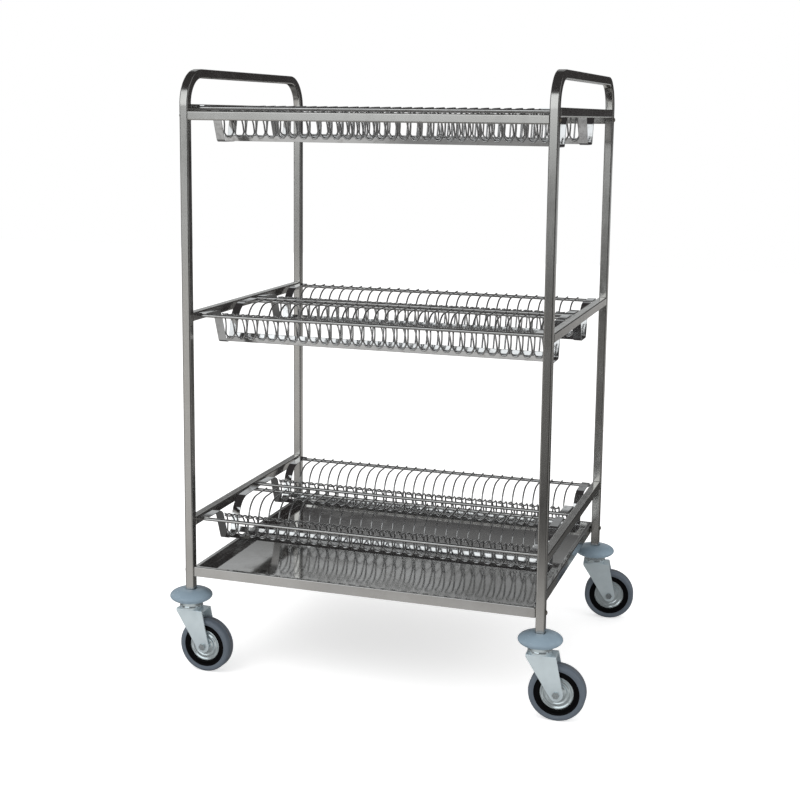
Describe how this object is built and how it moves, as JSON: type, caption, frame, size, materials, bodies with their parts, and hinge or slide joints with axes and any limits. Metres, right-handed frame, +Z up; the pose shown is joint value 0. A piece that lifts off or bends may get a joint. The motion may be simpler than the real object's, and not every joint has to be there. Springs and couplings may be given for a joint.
{
  "type": "dish drying trolley",
  "caption": "Stainless steel dish drying trolley with stacked wire plate racks over a drip tray, bent tube handles at both ends and swivel castors with round bumpers.",
  "frame": {"origin": "on the floor, in the middle between the four posts", "axes": "+Z up; +X to the right along the plate racks, with a handle at each end; +Y to the back"},
  "size_m": [1.0361, 0.758, 1.384],
  "materials": {
    "tube_steel": "satin",
    "wire_steel": "polished",
    "tray_steel": "satin",
    "zinc_steel": "gloss",
    "bolt_steel": "satin",
    "bumper_rubber": "satin",
    "tyre_rubber": "matte",
    "rim_plastic": "matte"
  },
  "bodies": {
    "frame": {"castor_front_left_bumper": "bumper_rubber", "castor_front_left_stem": "zinc_steel", "castor_front_right_bumper": "bumper_rubber", "castor_front_right_stem": "zinc_steel", "castor_rear_left_bumper": "bumper_rubber", "castor_rear_left_stem": "zinc_steel", "castor_rear_right_bumper": "bumper_rubber", "castor_rear_right_stem": "zinc_steel", "drip_tray": "tray_steel", "front_top_rail": "tube_steel", "lower_front_rack_dividers": "wire_steel", "lower_front_rack_rods": "wire_steel", "lower_front_rack_straps": "wire_steel", "lower_rear_rack_dividers": "wire_steel", "lower_rear_rack_rods": "wire_steel", "lower_rear_rack_straps": "wire_steel", "middle_front_rack_dividers": "wire_steel", "middle_front_rack_rods": "wire_steel", "middle_front_rack_straps": "wire_steel", "middle_rear_rack_dividers": "wire_steel", "middle_rear_rack_rods": "wire_steel", "middle_rear_rack_straps": "wire_steel", "rail_bolts": "bolt_steel", "rail_inserts": "bolt_steel", "rear_top_rail": "tube_steel", "side_frame_left": "tube_steel", "side_frame_right": "tube_steel", "side_rails_left": "tube_steel", "side_rails_right": "tube_steel", "top_front_rack_dividers": "wire_steel", "top_front_rack_rods": "wire_steel", "top_front_rack_straps": "wire_steel", "top_rear_rack_dividers": "wire_steel", "top_rear_rack_rods": "wire_steel", "top_rear_rack_straps": "wire_steel", "tray_bolts": "bolt_steel", "tray_nuts": "bolt_steel"},
    "swivel_front_left": {"castor_front_left_fork": "zinc_steel", "castor_front_left_axle": "zinc_steel"},
    "wheel_front_left": {"castor_front_left_tyre": "tyre_rubber", "castor_front_left_rim": "rim_plastic", "castor_front_left_hub": "zinc_steel"},
    "swivel_front_right": {"castor_front_right_fork": "zinc_steel", "castor_front_right_axle": "zinc_steel"},
    "wheel_front_right": {"castor_front_right_tyre": "tyre_rubber", "castor_front_right_rim": "rim_plastic", "castor_front_right_hub": "zinc_steel"},
    "swivel_rear_left": {"castor_rear_left_fork": "zinc_steel", "castor_rear_left_axle": "zinc_steel"},
    "wheel_rear_left": {"castor_rear_left_tyre": "tyre_rubber", "castor_rear_left_rim": "rim_plastic", "castor_rear_left_hub": "zinc_steel"},
    "swivel_rear_right": {"castor_rear_right_fork": "zinc_steel", "castor_rear_right_axle": "zinc_steel"},
    "wheel_rear_right": {"castor_rear_right_tyre": "tyre_rubber", "castor_rear_right_rim": "rim_plastic", "castor_rear_right_hub": "zinc_steel"}
  },
  "joints": [
    {"name": "front_left_swivel", "type": "hinge", "parent": "frame", "child": "swivel_front_left", "pos_m": [-0.415, -0.33, 0.15], "axis": [0, 0, 1], "continuous": true},
    {"name": "front_left_roll", "type": "hinge", "parent": "swivel_front_left", "child": "wheel_front_left", "pos_m": [-0.37505, -0.33209, 0.0625], "axis": [0.0523, 0.9986, 0], "continuous": true},
    {"name": "front_right_swivel", "type": "hinge", "parent": "frame", "child": "swivel_front_right", "pos_m": [0.415, -0.33, 0.15], "axis": [0, 0, 1], "continuous": true},
    {"name": "front_right_roll", "type": "hinge", "parent": "swivel_front_right", "child": "wheel_front_right", "pos_m": [0.45495, -0.32791, 0.0625], "axis": [-0.0523, 0.9986, 0], "continuous": true},
    {"name": "rear_left_swivel", "type": "hinge", "parent": "frame", "child": "swivel_rear_left", "pos_m": [-0.415, 0.33, 0.15], "axis": [0, 0, 1], "continuous": true},
    {"name": "rear_left_roll", "type": "hinge", "parent": "swivel_rear_left", "child": "wheel_rear_left", "pos_m": [-0.4549, 0.33279, 0.0625], "axis": [-0.0698, -0.9976, 0], "continuous": true},
    {"name": "rear_right_swivel", "type": "hinge", "parent": "frame", "child": "swivel_rear_right", "pos_m": [0.415, 0.33, 0.15], "axis": [0, 0, 1], "continuous": true},
    {"name": "rear_right_roll", "type": "hinge", "parent": "swivel_rear_right", "child": "wheel_rear_right", "pos_m": [0.45461, 0.33557, 0.0625], "axis": [-0.1392, 0.9903, 0], "continuous": true}
  ]
}
